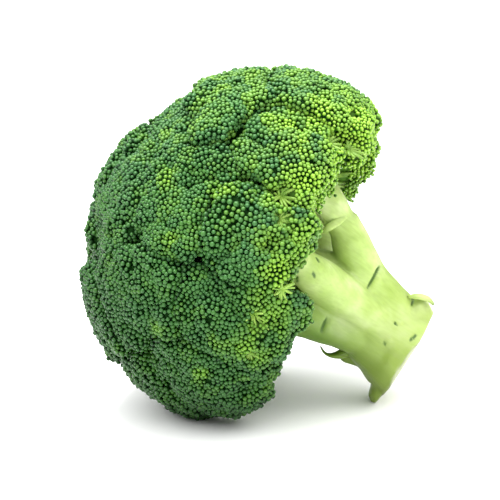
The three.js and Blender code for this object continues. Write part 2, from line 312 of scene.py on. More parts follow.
def stem_at(height):
    """The middle and the radius of the stem at a height above the cut."""
    heights = STEM_LINE[:, 2]
    middle = np.array([np.interp(height, heights, STEM_LINE[:, 0]), 0.0, height])
    return middle, float(np.interp(height, heights, STEM_RADII))


def leaf_base_rings(turn, height, half_width, proud, sides=16):
    """Ellipses up the stem, bent round it, that come out of its skin and end in a step."""
    out, across = direction(90, turn), direction(90, turn + 90)
    angle = np.arange(sides) / sides * 2 * math.pi
    rings = []
    rows = [(LEAF_BASE_RISE, -2, 0.6), (LEAF_BASE_RISE / 2, 0.3 * proud, 0.9)]
    for below, stands, share in rows + [(2, proud, 1), (0, 0.7 * proud, 0.85)]:
        middle, radius = stem_at(max(height - below, STEM_LINE[0, 2]))
        centre = middle * [1, 1, 0] + [0, 0, height - below]
        centre = centre + out * (radius + stands - LEAF_BASE_DEPTH)
        sideways = half_width * share * np.sin(angle)
        depth = LEAF_BASE_DEPTH * np.cos(angle) - sideways**2 / (2 * radius)
        rings.append(centre + sideways[:, None] * across + depth[:, None] * out)
    return np.array(rings)


branches = [
    np.array([direction(90, turn) * out + [0, 0, leaves + up] for out, up in BRANCH_PATH])
    for turn, leaves in BRANCHES
]


def twig_line(floret):
    """From inside the nearest branch's fork, or the stem's top, into the floret's underside."""
    limb = STEM_LINE
    if not floret.name.startswith(("upper", "top")):
        limb = max(branches, key=lambda one: unit(one[-1]) @ unit(floret.tip))
    start = limb[-1] + 0.6 * (limb[-2] - limb[-1])
    end = floret.heart - (UNDERSIDE_DEPTH - TWIG_INSERT) * floret.growth
    swing = np.linalg.norm(end - start) / 3
    leaving = start + swing * unit(limb[-1] - limb[-2])
    entering = end - swing * floret.growth
    second = leaving + 0.3 * (entering - leaving)
    return smooth_line([start, second, entering + 0.1 * (second - entering), end], 14)


limbs = [limb_rings(smooth_line(STEM_LINE, 60), STEM_RADII, 40)]
limbs += [limb_rings(smooth_line(b, 40), BRANCH_RADII, 26) for b in branches]
limbs += [limb_rings(twig_line(f), np.array(TWIG_RADII) + TWIG_WIDER, 16) for f in florets]
limbs += [leaf_base_rings(*row) for row in LEAF_BASES]
rough = make_mesh("rough_stalk", *merge([close_rings(rings) for rings in limbs]))
remesh = rough.modifiers.new("run together", "REMESH")
remesh.mode = "VOXEL"
remesh.voxel_size = VOXEL
remesh.adaptivity = 0
soften = rough.modifiers.new("soften", "SMOOTH")
soften.factor = 0.5
soften.iterations = 7
evaluated = rough.evaluated_get(bpy.context.evaluated_depsgraph_get()).to_mesh()
stalk_points = np.empty(len(evaluated.vertices) * 3, np.float32)
evaluated.vertices.foreach_get("co", stalk_points)
stalk_points = stalk_points.reshape(-1, 3).astype(float)
stalk_normals = np.empty(len(evaluated.vertices) * 3, np.float32)
evaluated.vertices.foreach_get("normal", stalk_normals)
stalk_normals = stalk_normals.reshape(-1, 3).astype(float)
stalk_quads = np.empty(len(evaluated.loops), np.int32)
evaluated.loops.foreach_get("vertex_index", stalk_quads)
stalk_quads = stalk_quads.reshape(-1, 4)
bpy.data.objects.remove(rough)


def dress_stalk(points, normals):
    """Soft ribs that run up the skin, broad lumps, a slit with a lip at each scar, and the
    knife's flat cut with its near edge trimmed. The skin is moved along its normal by the sum of
    them, and what lies past a knife plane is put back on it. Returns the points, and how much of
    each vertex is scar and cut."""
    on_stem = np.clip((STEM_END - points[:, 2]) / STEM_FADE, 0, 1)
    ribs = waves(points, RIB_LENGTH, 14, 3, stretch=(1, 1, 9))
    lumps = waves(points, LUMP_LENGTH, 10, 4)
    grain = waves(points, GRAIN_LENGTH, 16, 5, stretch=(1, 1, 4))
    lift = RIB_HEIGHT * ribs + LUMP_HEIGHT * lumps + GRAIN_HEIGHT * grain
    scar = np.zeros(len(points))
    for turn, height, half_length, slant, depth in SCARS:
        around = points @ direction(90, turn + 90)
        c, s = math.cos(math.radians(slant)), math.sin(math.radians(slant))
        along = around * c + (points[:, 2] - height) * s
        off = (points[:, 2] - height) * c - around * s + SLIT_BEND * along**2
        reach = np.clip(1.15 - (along / half_length) ** 2, 0, 1)
        reach = reach * (points @ direction(90, turn) > 0)
        slit = np.exp(-((off / SLIT_WIDTH) ** 2)) * reach
        lip = np.exp(-(((off + LIP_BELOW) / LIP_WIDTH) ** 2)) * reach
        lift += LIP_SHARE * depth * lip - depth * slit
        scar = np.maximum(scar, slit)
    relief = BRANCH_RELIEF + (1 - BRANCH_RELIEF) * on_stem
    points = points + normals * (lift * relief)[:, None]
    cut = np.zeros(len(points))
    for tilt, through in ((CUT_TILT, CUT_POINT), (TRIM_TILT, TRIM_POINT)):
        knife = direction(tilt, 90)
        beyond = (points - through) @ knife
        reached = points[:, 2] < KNIFE_REACH
        cut = np.maximum(cut, np.clip(1 - beyond / KNIFE_FADE, 0, 1) * reached)
        under = np.minimum(beyond, 0) * reached
        points = points - under[:, None] * knife
    return points, scar, cut


stalk_points, scar, cut = dress_stalk(stalk_points, stalk_normals)
laid = lay_down(stalk_points)
laid[:, 2] = np.maximum(laid[:, 2], 0)
no_tris = np.empty((0, 3), np.int32)
stalk = make_mesh("stem_and_branches", laid, stalk_quads, no_tris)
from_pith = np.linalg.norm(stalk_points[:, :2] - PITH_MIDDLE, axis=1) / PITH_RADIUS
attach(stalk, head_mm=stalk_points, scar=scar, cut=cut, from_pith=from_pith)


def linear(code):
    """An sRGB hex colour as the four linear numbers that a shader's socket takes."""
    channels = [int(code[i : i + 2], 16) / 255 for i in (1, 3, 5)]
    made = [c / 12.92 if c <= 0.04045 else ((c + 0.055) / 1.055) ** 2.4 for c in channels]
    return (*made, 1.0)


def add(tree, kind, settings=None, inputs=None, **links):
    """Adds one node: its settings, the values of its inputs, and what is linked into them."""
    made = tree.nodes.new("ShaderNode" + kind)
    for name, value in (settings or {}).items():
        setattr(made, name, value)
    for name, value in (inputs or {}).items():
        made.inputs[name].default_value = value
    for name, source in links.items():
        key = int(name[1:]) if name[0] == "_" else name.replace("_", " ")
        tree.links.new(source, made.inputs[key])
    return made


def new_material(name, shader):
    """A new material, its node tree and its shader, with the shader's own sockets set."""
    material = bpy.data.materials.new(name)
    material.use_nodes = True
    principled = material.node_tree.nodes["Principled BSDF"]
    for socket, value in shader.items():
        principled.inputs[socket].default_value = value
    return material, material.node_tree, principled


def ramp(tree, source, stops):
    """A colour ramp over (place, hex colour) stops, read at the source."""
    made = add(tree, "ValToRGB", _0=source)
    elements = made.color_ramp.elements
    while len(elements) < len(stops):
        elements.new(0.5)
    for element, (place, code) in zip(elements, stops):
        element.position = place
        element.color = linear(code)
    return made.outputs["Color"]


def blend(tree, amount, first, second, mode="MIX"):
    """Two colours mixed by an amount; each may be a socket or a hex colour."""
    made = add(tree, "Mix", {"data_type": "RGBA", "blend_type": mode})
    for index, value in ((0, amount), (6, first), (7, second)):
        if isinstance(value, str):
            made.inputs[index].default_value = linear(value)
        elif isinstance(value, (int, float)):
            made.inputs[index].default_value = value
        else:
            tree.links.new(value, made.inputs[index])
    return made.outputs[2]


# Living stem skin: smooth and waxy, pale yellow-green, with fine fibres that run up it. The cut
# shows whiter pith inside a greener ring, and leaf scars have dried to a dark olive green. The
# fibres are about 1.1 mm wide and eight times as long, the lighter patches about 14 mm, and the
# mottle of the pith about 1.7 mm. The side that lies underneath and the end by the cut are painted
# darker and greener as painted shade.
skin, tree, shader = new_material(
    "waxy stem skin",
    {
        "Roughness": 0.42,
        "IOR": 1.42,
        "Subsurface Weight": 0.12,
        "Subsurface Radius": (0.004, 0.004, 0.0012),
        "Subsurface Scale": 1.0,
    },
)
place = add(tree, "Attribute", {"attribute_name": "head_mm"}).outputs["Vector"]
stretched = add(tree, "Mapping", inputs={"Scale": (1.0, 1.0, 0.12)}, Vector=place).outputs[0]
fibres = add(tree, "TexNoise", inputs={"Scale": 0.9, "Detail": 4.0}, Vector=stretched).outputs[0]
patches = add(tree, "TexNoise", inputs={"Scale": 0.07, "Detail": 3.0}, Vector=place).outputs[0]
colour = ramp(tree, patches, [(0.3, "#98b356"), (0.5, "#afc673"), (0.7, "#cbda9c")])
streaks = ramp(tree, fibres, [(0.3, "#eeeeee"), (0.62, "#ffffff")])
colour = blend(tree, 1.0, colour, streaks, "MULTIPLY")
sides = add(tree, "SeparateXYZ", Vector=place)
# Painted shade: the side that lies underneath and the end by the cut are mixed to darker greens.
UNDERSIDE_SHADE = {"From Min": 8.0, "From Max": -12.0}
CUT_END_SHADE = {"From Min": 34.0, "From Max": 2.0, "To Max": 0.6}
underside_shade = add(tree, "MapRange", inputs=UNDERSIDE_SHADE, _0=sides.outputs["X"]).outputs[0]
colour = blend(tree, underside_shade, colour, "#567520")
cut_end_shade = add(tree, "MapRange", inputs=CUT_END_SHADE, _0=sides.outputs["Z"]).outputs[0]
colour = blend(tree, cut_end_shade, colour, "#8b9e42")
scarred = add(tree, "Attribute", {"attribute_name": "scar"}).outputs["Fac"]
dried = {"From Min": 0.1, "From Max": 0.6}
scarred = add(tree, "MapRange", inputs=dried, _0=scarred).outputs[0]
colour = blend(tree, scarred, colour, "#46651f")
pith = add(tree, "Attribute", {"attribute_name": "from_pith"}).outputs["Fac"]
mottle = add(tree, "TexNoise", inputs={"Scale": 0.6, "Detail": 5.0}, Vector=place).outputs[0]
pith = add(tree, "Math", {"operation": "MULTIPLY_ADD"}, {1: 0.12}, _0=mottle, _2=pith).outputs[0]
rings = ramp(
    tree,
    pith,
    [(0.2, "#bcc3a2"), (0.62, "#b5bd96"), (0.72, "#94a964"), (0.8, "#a6ad88"), (1.0, "#a3aa86")],
)
sliced = add(tree, "Attribute", {"attribute_name": "cut"}).outputs["Fac"]
colour = blend(tree, sliced, colour, rings)
tree.links.new(colour, shader.inputs["Base Color"])
relief = add(tree, "Bump", inputs={"Strength": 0.25, "Distance": 0.0004}, Height=fibres)
tree.links.new(relief.outputs[0], shader.inputs["Normal"])
stalk.data.materials.append(skin)
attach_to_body(stalk, "root")
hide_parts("stalk")

# Leaf stubs. Small leaves grow from the stalk and are trimmed off with it, which leaves thin curled
# ends of their stems: one hangs under the stalk, one lies over the fork, one on the upper leaf base
# and one on the far side. Each: places along its line in head millimetres, half widths there, and
# the angle round the stem that its flat side faces. All are flattened to the same share, and their
# tips are as dry as a share of a leaf scar.
STUBS = {
    "hanging_stub": (
        [(-13, -3, 18), (-18.3, -3.3, 22), (-20, -3.5, 26), (-18.6, -3.5, 29.5)],
        [3.0, 2.2, 1.3, 0.5],
        178,
    ),
    "fork_bract": (
        [(33, -8.8, 49.5), (29.5, -11, 51.5), (26, -12.4, 53.2), (22.5, -12.6, 54.6)],
        [1.0, 1.7, 1.5, 0.3],
        -60,
    ),
    "upper_flap": (
        [(18.0, -5, 11), (20.3, -5, 7.5), (21.4, -4.5, 4), (20.6, -4, 0.8)],
        [1.0, 2.4, 2.8, 1.5],
        0,
    ),
    "far_stub": (
        [(2, 14.5, 11), (2, 18.5, 16), (1.5, 19.5, 20), (1, 18.4, 22.5)],
        [3.2, 2.4, 1.4, 0.5],
        92,
    ),
}
STUB_THICKNESS = 0.38
STUB_DRYNESS = 0.55
STUB_RINGS = 16
STUB_SIDES = 14
for name, (line, widths, turn) in STUBS.items():
    line = smooth_line(line, STUB_RINGS)
    rings = limb_rings(line, widths, STUB_SIDES)
    across = rings - line[:, None]
    flat = direction(90, turn)
    rings = rings - (1 - STUB_THICKNESS) * (across @ flat)[..., None] * flat
    verts, quads, tris = close_rings(rings)
    piece = make_mesh(name, lay_down(verts), quads, tris)
    cut_end = np.append(np.repeat(np.linspace(0, 1, STUB_RINGS) ** 4, STUB_SIDES), [0.0, 1.0])
    nothing = np.zeros(len(verts))
    attach(piece, head_mm=verts, scar=STUB_DRYNESS * cut_end, cut=nothing, from_pith=nothing)
    piece.data.materials.append(skin)
    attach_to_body(piece, "root")

# Florets. Each is a dense head of flower buds, about 2 mm across, in clusters of ten or so on
# short stalklets that all spring from the twig. The buds stand on the floret's domed skin, a core
# painted dark green as painted shade shuts the gaps between them, and pale stalklets show under the
# crown's rim.
BUD_PITCH = 1.92
FLANK_GAP = 0.2
# How far the planes between florets and the rim's lower edges wander, and over what length.
FLANK_WANDER, FLANK_LENGTH = 2.4, 22
HEM_WANDER, HEM_LENGTH = 1.6, 11
SOFTNESS = 13
SKIN_DEPTH = 1.7
CLUMP_PITCH = 12.5
CLUMP_RISE = 3.4
CLUSTER_PITCH = 5.8
CLUSTER_RISE = 2.4
# The share of a mound's height that is at the plain skin: what is lower sinks, the rest rises.
CLUMP_LEVEL = 0.78
CLUSTER_LEVEL = 0.84
# How far the core lies under the skin, and how much further on the underside.
CORE_INSET = 1.2
UNDERSIDE_INSET = 1.3
# The share of the crown's size at which its skin lies, on the whole.
CROWN_SKIN = 0.945
# How far down the flanks, and under the rim, buds still stand, as the dome's share of the reach.
LAST_ON_FLANK = 1.4
LAST_UNDERNEATH = 1.9
# Bud: rings of (radius, height) from its buried foot to near its tip, as shares of its radius.
BUD_RINGS = [(0.8, -0.6), (1.0, 0.1), (0.8, 0.75)]
BUD_TIP = 1.1
BUD_SIDES = 6
# A bud's radius as a share of the pitch, how much its size and its facing vary, how much it may
# stand out, in millimetres, how much it leans away from the heart, and how much smaller a young
# one is.
BUD_RADIUS = 0.53
BUD_SIZE_VARIES = 0.12
BUD_FACING_VARIES = 0.12
BUD_LIFT = 0.22
BUD_LEAN = 0.35
YOUNG_SMALLER = 0.2
# How much of a bud's youth comes from the rim's lower edge, a young patch, the ring round an open
# cluster, the head's upper side (painted light: buds on top are made yellower and lighter), and its
# cluster's luck, which counts from a level.
EDGE_YOUTH, PATCH_YOUTH, RING_YOUTH, TOP_LIGHT_YOUTH, LUCK_YOUTH = 0.75, 0.6, 0.3, 0.38, 0.5
LUCK_LEVEL = 0.78
YOUTH_VARIES = 0.06
# Buds are spread from this many rays. In each round one is pushed away from those nearer than the
# first share of the spacing, by the second share of what is missing.
DENSE_RAYS = 6000
PUSH_REACH, PUSH_SHARE = 1.12, 0.3
# Stalklets: how many in a rim floret and in an open cluster, and their radii at both ends.
RIM_STALKLETS, RIM_STALKLET_RADII = 100, (0.95, 0.36)
OPEN_STALKLETS, OPEN_STALKLET_RADII = 12, (0.8, 0.45)
STALKLET_STEPS = 6
STALKLET_SIDES = 5
# Open clusters: polar angle and angle round +X of the middle, and the radius. There the buds have
# spread apart, so that one looks down a small funnel at their pale stalklets. Shares of the radius:
# how deep the funnel is, and out to where it has no buds.
OPEN_DEPTH = 0.7
OPEN_MIDDLE = 0.72
OPEN_CLUSTERS = [
    (90, -32, 5.0),
    (94, -7, 4.5),
    (101, -84, 4.0),
    (98, -96, 5.5),
    (85, -59, 6.0),
    (88, -66, 4.5),
    (97, -28, 5.5),
    (90, -17, 4.5),
    (104, -108, 4.5),
    (99, 64, 5.5),
    (96, 118, 5.0),
    (97, 172, 5.5),
]
# Young clusters: polar angle, angle round +X and radius of patches that are still yellow-green.
YOUNG_PATCHES = [
    (51, -26, 6),
    (47, -72, 6),
    (66, -68, 5),
    (61, -90, 4),
    (92, -123, 6),
    (42, -60, 4),
    (73, -36, 8),
    (79, -42, 7),
    (87, -75, 6),
    (94, -80, 6),
    (80, -63, 4),
    (32, -47, 4),
    (98, -105, 7),
    (72, -119, 4),
    (56, 70, 6),
    (70, 130, 5),
    (40, 150, 5),
    (62, -165, 5),
    (25, 60, 5),
    (91, -22, 12),
    (99, -30, 10),
    (84, -10, 9),
    (82, -27, 10),
    (102, -92, 7),
    (93, -108, 6),
    (86, -52, 7),
    (95, -90, 5),
]


def on_crown(rows):
    """For rows of (polar angle, angle round +X, size): the places on the crown in head millimetres,
    the ways out to them, and the sizes."""
    ways = np.array([direction(polar, turn) for polar, turn, _ in rows])
    sizes = np.array([size for _, _, size in rows], float)
    return ways * CROWN_SIZE * CROWN_SKIN + CROWN_MIDDLE, ways, sizes


open_middles, open_ways, open_radii = on_crown(OPEN_CLUSTERS)
young_middles, _, young_radii = on_crown(YOUNG_PATCHES)


def tangents(normals):
    """Two unit vectors square to each normal and to each other."""
    away = np.where(np.abs(normals[:, 2:]) < 0.9, [[0.0, 0.0, 1.0]], [[1.0, 0.0, 0.0]])
    u = unit(np.cross(away, normals))
    return u, np.cross(normals, u)


def golden_rays(count, axis):
    """Unit vectors spread evenly over the sphere on a golden-angle spiral from the axis."""
    i = np.arange(count)
    height = 1 - (2 * i + 1) / count
    across = np.sqrt(1 - height**2)
    angle = i * math.pi * (3 - math.sqrt(5))
    u, v = tangents(axis[None])
    return (
        height[:, None] * axis
        + (across * np.cos(angle))[:, None] * u[0]
        + (across * np.sin(angle))[:, None] * v[0]
    )


def plane_reach(rays, normal, away):
    """Distance along each ray to a plane that lies so far away along its normal."""
    toward = rays @ normal
    return np.where(toward > 0.02, np.maximum(away, 1) / toward.clip(0.02), 1e4)


def dome_reach(floret, rays):
    """Distance along each ray from the heart to the ellipsoid under the floret's tip."""
    along = rays @ floret.outward
    across = rays - along[:, None] * floret.outward
    step = across / floret.spread + along[:, None] / DOME_RISE * floret.outward
    start = (DOME_RISE - HEART_DEPTH) / DOME_RISE
    a, b, c = (step**2).sum(1), step @ floret.outward * start, start**2 - 1
    return (-b + np.sqrt(b * b - a * c)) / a - SKIN_DEPTH


def skin_points(floret, rays, mounds=None):
    """Where rays from the heart leave the floret. The reach is the least of the dome, the planes
    midway to each neighbour's tip, the underside and, on the rim, the lower edge, run together
    softly by a power mean. The planes wander with a noise that both neighbours share. Mounds lift
    it and open clusters sink it. Returns points and the dome's share of flank and of lower edge."""
    dome = dome_reach(floret, rays)
    others = [other for other in florets if other is not floret]
    normals = [unit(other.tip - floret.tip) for other in others]
    aways = [
        ((floret.tip + other.tip) / 2 - floret.heart) @ normal - FLANK_GAP / 2
        for other, normal in zip(others, normals)
    ]
    plain = np.min([plane_reach(rays, n, a) for n, a in zip(normals, aways)], axis=0)
    where = floret.heart + rays * np.minimum(dome, plain)[:, None]
    wander = FLANK_WANDER * waves(where, FLANK_LENGTH, 12, 21)
    signs = [1 if floret.name < other.name else -1 for other in others]
    planes = zip(normals, aways, signs)
    flank = np.min([plane_reach(rays, n, a + sign * wander) for n, a, sign in planes], axis=0)
    low = plane_reach(rays, -floret.growth, UNDERSIDE_DEPTH)
    if floret.hem:
        away = (floret.hem_point - floret.heart) @ floret.hem_normal
        away = away + HEM_WANDER * waves(where, HEM_LENGTH, 10, 22)
        low = np.minimum(low, plane_reach(rays, floret.hem_normal, away))
    reach = (dome**-SOFTNESS + flank**-SOFTNESS + low**-SOFTNESS) ** (-1 / SOFTNESS)
    points = floret.heart + rays * reach[:, None]
    side = dome / np.minimum(flank, low)
    if mounds is not None:
        rise = CLUMP_RISE * (swell(points, mounds[0], CLUMP_PITCH) - CLUMP_LEVEL)
        rise += CLUSTER_RISE * (swell(points, mounds[1], CLUSTER_PITCH) - CLUSTER_LEVEL)
        rise *= np.clip(1.7 - side, 0, 1) / 0.7
        gap = np.linalg.norm(points[:, None] - open_middles, axis=2) / open_radii
        sink = (open_radii * np.clip(1.1 - gap**2, 0, 1)).max(1)
        points = points + rays * (rise - OPEN_DEPTH * sink)[:, None]
    return points, side, dome / low


def swell(points, middles, pitch):
    """A rounded mound over each middle: 1 at the nearest one, less towards the next."""
    gap = np.linalg.norm(points[:, None] - middles[None], axis=2).min(1)
    return np.sqrt(np.maximum(1 - (gap / (0.8 * pitch)) ** 2, 0))


def spread_evenly(floret, random, spacing, rounds, limit, mounds=None):
    """Rays whose points stand about a spacing apart all over the floret's skin. They are taken
    from dense rays by how much skin each stands for. Then every point is pushed away from those
    nearer than the spacing and is put back on the skin, for a few rounds."""
    dense = golden_rays(DENSE_RAYS, floret.outward)
    points, side, low = skin_points(floret, dense, mounds)
    u, v = tangents(dense)
    ahead = skin_points(floret, unit(dense + 0.01 * u), mounds)[0] - points
    aside = skin_points(floret, unit(dense + 0.01 * v), mounds)[0] - points
    area = np.linalg.norm(np.cross(ahead, aside), axis=1) * 1e4 * 4 * math.pi / len(dense)
    kept = side < np.where(low >= side, 1.5 * limit, limit)
    dense, area = dense[kept], area[kept]
    total = np.cumsum(area)
    count = max(int(total[-1] / (0.866 * spacing**2)), 1)
    chosen = np.searchsorted(total, (np.arange(count) + 0.5) / count * total[-1])
    rays = unit(dense[chosen] + random.normal(size=(count, 3)) * 0.012)
    for _ in range(rounds):
        points = skin_points(floret, rays, mounds)[0]
        squares = (points**2).sum(1)
        gap = squares[:, None] + squares - 2 * points @ points.T
        gap = np.sqrt(np.maximum(gap, 1e-6))
        push = np.clip(PUSH_REACH * spacing - gap, 0, spacing) / gap
        np.fill_diagonal(push, 0)
        points = points + PUSH_SHARE * (points * push.sum(1)[:, None] - push @ points)
        rays = unit(points - floret.heart)
    return rays


def bud_arrays(floret, random, mounds):
    """All the buds of a floret as one round-tipped shape repeated: where each stands, which way
    it faces, and for each vertex how near it is to a tip, the bud's own tone, its youth, and how
    far it lies towards the upper side, which the material uses to paint shade on the lower side. A
    bud is young near the rim's lower edge, in a young patch, round an open cluster and, as painted
    light, on the upper side, more or less so by its cluster's luck."""
    pitch = BUD_PITCH * random.uniform(0.93, 1.06)
    rays = spread_evenly(floret, random, pitch, 9, LAST_ON_FLANK, mounds)
    points, side, low = skin_points(floret, rays, mounds)
    gap = np.linalg.norm(points[:, None] - open_middles, axis=2) / open_radii
    shows = side < np.where(low >= side, LAST_UNDERNEATH, LAST_ON_FLANK)
    shows &= gap.min(1) > OPEN_MIDDLE
    rays, points, side, low, gap = (a[shows] for a in (rays, points, side, low, gap))
    u, v = tangents(rays)
    ahead = skin_points(floret, unit(rays + 0.03 * u), mounds)[0] - points
    aside = skin_points(floret, unit(rays + 0.03 * v), mounds)[0] - points
    facing = unit(unit(np.cross(ahead, aside)) + BUD_LEAN * rays)
    facing = unit(facing + random.normal(size=facing.shape) * BUD_FACING_VARIES)
    cluster = np.linalg.norm(points[:, None] - mounds[1][None], axis=2).argmin(1)
    luck = random.random(len(mounds[1]))[cluster]
    edge = np.clip((low - 0.62) / 0.4, 0, 1) if floret.hem else np.zeros(len(points))
    upper_side = 0.3 + 0.7 * np.clip(floret.outward[0] * 1.4 + 0.3, 0, 1)
    patch = np.linalg.norm(points[:, None] - young_middles, axis=2) / young_radii
    patch = np.clip(1.3 - patch.min(1), 0, 1)
    ring = np.clip(1.9 - gap.min(1), 0, 1)
    # Painted light and shade: the share towards the upper side, from -1 below to 1 on top.
    sun = points[:, 0] / CROWN_SIZE[0]
    youth = EDGE_YOUTH * edge * upper_side + PATCH_YOUTH * patch + RING_YOUTH * ring
    youth = youth + TOP_LIGHT_YOUTH * sun.clip(0) + LUCK_YOUTH * (luck - LUCK_LEVEL)
    youth = youth + random.normal(0, YOUTH_VARIES, len(points))
    young = np.clip(youth, 0, 1)
    size = random.normal(1, BUD_SIZE_VARIES, len(points)).clip(0.75, 1.3)
    size = BUD_RADIUS * pitch * size
    points = points + facing * random.normal(0, BUD_LIFT, (len(points), 1))
    size = size * (1 - YOUNG_SMALLER * young)
    angle = np.arange(BUD_SIDES) / BUD_SIDES * 2 * math.pi
    shape = [[r * math.cos(a), r * math.sin(a), h] for r, h in BUD_RINGS for a in angle]
    shape = np.array(shape + [[0, 0, BUD_TIP]])
    u, v = tangents(facing)
    frames = np.stack([u, v, facing], 1) * size[:, None, None]
    verts = points[:, None] + np.einsum("vk,nkc->nvc", shape, frames)
    here = np.arange(BUD_SIDES)
    following = (here + 1) % BUD_SIDES
    band = np.stack([here, following, following + BUD_SIDES, here + BUD_SIDES], 1)
    quads = np.concatenate([band + k * BUD_SIDES for k in range(len(BUD_RINGS) - 1)])
    top = (len(BUD_RINGS) - 1) * BUD_SIDES
    tris = np.stack([top + here, top + following, np.full(BUD_SIDES, len(shape) - 1)], 1)
    base = (np.arange(len(points)) * len(shape))[:, None, None]
    lists = {
        "tip": np.tile((shape[:, 2] + 0.6) / (BUD_TIP + 0.6), len(points)),
        "tone": np.repeat(0.5 * random.random(len(points)) + 0.5 * luck, len(shape)),
        "sun": np.repeat(sun, len(shape)),
        "young": np.repeat(young, len(shape)),
    }
    return verts.reshape(-1, 3), (quads + base).reshape(-1, 4), (tris + base).reshape(-1, 3), lists


def core_arrays(floret, mounds, rows=34, columns=52):
    """The closed body under the buds: rays from the heart on a grid of polar angle and angle
    round the outward axis, each run out to the skin less a small inset."""
    polar = np.linspace(0, math.pi, rows + 2)[1:-1]
    turn = np.arange(columns) / columns * 2 * math.pi
    u, v = tangents(floret.outward[None])
    polar, turn = np.meshgrid(polar, turn, indexing="ij")
    rays = (
        np.cos(polar)[..., None] * floret.outward
        + (np.sin(polar) * np.cos(turn))[..., None] * u[0]
        + (np.sin(polar) * np.sin(turn))[..., None] * v[0]
    ).reshape(-1, 3)
    points, side, low = skin_points(floret, rays, mounds)
    beneath = np.clip((side - 1.05) / 0.25, 0, 1) * (low >= side)
    points = points - rays * (CORE_INSET + UNDERSIDE_INSET * beneath)[:, None]
    gap = np.linalg.norm(points[:, None] - open_middles, axis=2) / open_radii
    pale = np.maximum(beneath, 0.9 * np.clip(1.8 - 1.2 * gap.min(1), 0, 1))
    verts, quads, tris = close_rings(points.reshape(rows, columns, 3))
    return verts, quads, tris, np.append(pale, [0.0, 1.0])


def stalklet_arrays(floret, random, mounds):
    """Thin tapered stalklets. On the rim they fan out over the underside from the twig to the
    buds, each on a meridian round the twig's line. In an open cluster they rise from the bottom
    of the funnel to its edge."""
    parts = []
    if floret.hem:
        count, steps = RIM_STALKLETS, STALKLET_STEPS
        u, v = tangents(floret.growth[None])
        turn = (np.arange(count) + random.uniform(-0.4, 0.4, count)) / count * 2 * math.pi
        spread = np.linspace(0.3, 1.0, steps)[None] * random.uniform(1.3, 1.9, (count, 1))
        bend = turn[:, None] + random.normal(size=(count, 1)) * 0.14 * np.linspace(0, 1, steps)
        rays = (
            -np.cos(spread)[..., None] * floret.growth
            + (np.sin(spread) * np.cos(bend))[..., None] * u[0]
            + (np.sin(spread) * np.sin(bend))[..., None] * v[0]
        ).reshape(-1, 3)
        points, side, low = skin_points(floret, rays, mounds)
        sunk = 1.0 + 0.5 * np.clip(1.6 - side, 0, 1)
        lines = (points - rays * sunk[:, None]).reshape(count, steps, 3)
        low = low.reshape(count, steps)[:, -1] > 1.0
        thick = np.linspace(*RIM_STALKLET_RADII, steps)
        parts += [close_rings(limb_rings(line, thick, STALKLET_SIDES)) for line in lines[low]]
    nearest_tip = [
        min(florets, key=lambda f, m=middle: np.linalg.norm(f.tip - m)) for middle in open_middles
    ]
    for middle, way, radius, owner in zip(open_middles, open_ways, open_radii, nearest_tip):
        if owner is not floret:
            continue
        u, v = tangents(way[None])
        foot = middle - 0.98 * radius * way + [0, 0, 0.25 * radius]
        turns = np.arange(OPEN_STALKLETS) / OPEN_STALKLETS * 2 * math.pi
        for turn in turns + random.uniform(-0.4, 0.4, OPEN_STALKLETS):
            out = math.cos(turn) * u[0] + math.sin(turn) * v[0]
            far = radius * random.uniform(0.5, 1.2)
            line = [foot, foot + random.uniform(0.2, 0.5) * far * out + 0.35 * radius * way]
            line += [middle + far * out - random.uniform(1.4, 2.8) * way]
            thick = np.linspace(*OPEN_STALKLET_RADII, STALKLET_STEPS) * random.uniform(0.8, 1.25)
            line = smooth_line(line, STALKLET_STEPS)
            parts.append(close_rings(limb_rings(line, thick, STALKLET_SIDES)))
    return merge(parts) if parts else None


# Broccoli bud: a closed flower bud, beaded and half matt under a thin bluish wax. Its foot is
# painted dark as painted shade in the gaps, its tip greyer green, each bud has its own tone, and
# young clusters are yellow-green. The head's lower side is painted deeper green as painted shade.
# The tone also drifts over 22 mm.
bud_skin, tree, shader = new_material(
    "waxed flower buds", {
        "Roughness": 0.38,
        "IOR": 1.42,
        "Specular IOR Level": 0.45,
        "Specular Tint": (0.8, 1.0, 0.8, 1.0),
    },
)
tip = add(tree, "Attribute", {"attribute_name": "tip"}).outputs["Fac"]
tone = add(tree, "Attribute", {"attribute_name": "tone"}).outputs["Fac"]
young = add(tree, "Attribute", {"attribute_name": "young"}).outputs["Fac"]
# Each ramp runs from a foot painted dark, painted shade in the gaps between buds, to the tip.
cool = ramp(tree, tip, [(0.1, "#0a270b"), (0.5, "#133f18"), (0.95, "#406f3d")])
warm = ramp(tree, tip, [(0.1, "#0d2c06"), (0.5, "#1b4a0f"), (0.95, "#4a7a31")])
fresh = ramp(tree, tip, [(0.1, "#2b560b"), (0.5, "#5f9118"), (0.95, "#95bd3f")])
patch = add(tree, "TexCoord").outputs["Object"]
patch = add(tree, "TexNoise", inputs={"Scale": 45.0, "Detail": 2.0}, Vector=patch).outputs[0]
mixed = add(tree, "Math", {"operation": "MULTIPLY_ADD"}, {1: 0.5}, _0=tone, _2=patch).outputs[0]
spread = {"From Min": 0.45, "From Max": 1.05}
mixed = add(tree, "MapRange", inputs=spread, _0=mixed).outputs[0]
colour = blend(tree, mixed, cool, warm)
colour = blend(tree, young, colour, fresh)
# Painted shade: the lower side of the head is multiplied darker green, the top left as it is.
sun = add(tree, "Attribute", {"attribute_name": "sun"}).outputs["Fac"]
upwards = {"From Min": -0.8, "From Max": 0.8}
sun = add(tree, "MapRange", inputs=upwards, _0=sun).outputs[0]
shade = ramp(tree, sun, [(0.0, "#8eac70"), (0.5, "#d6e0d0"), (1.0, "#ffffff")])
colour = blend(tree, 1.0, colour, shade, "MULTIPLY")
tree.links.new(colour, shader.inputs["Base Color"])

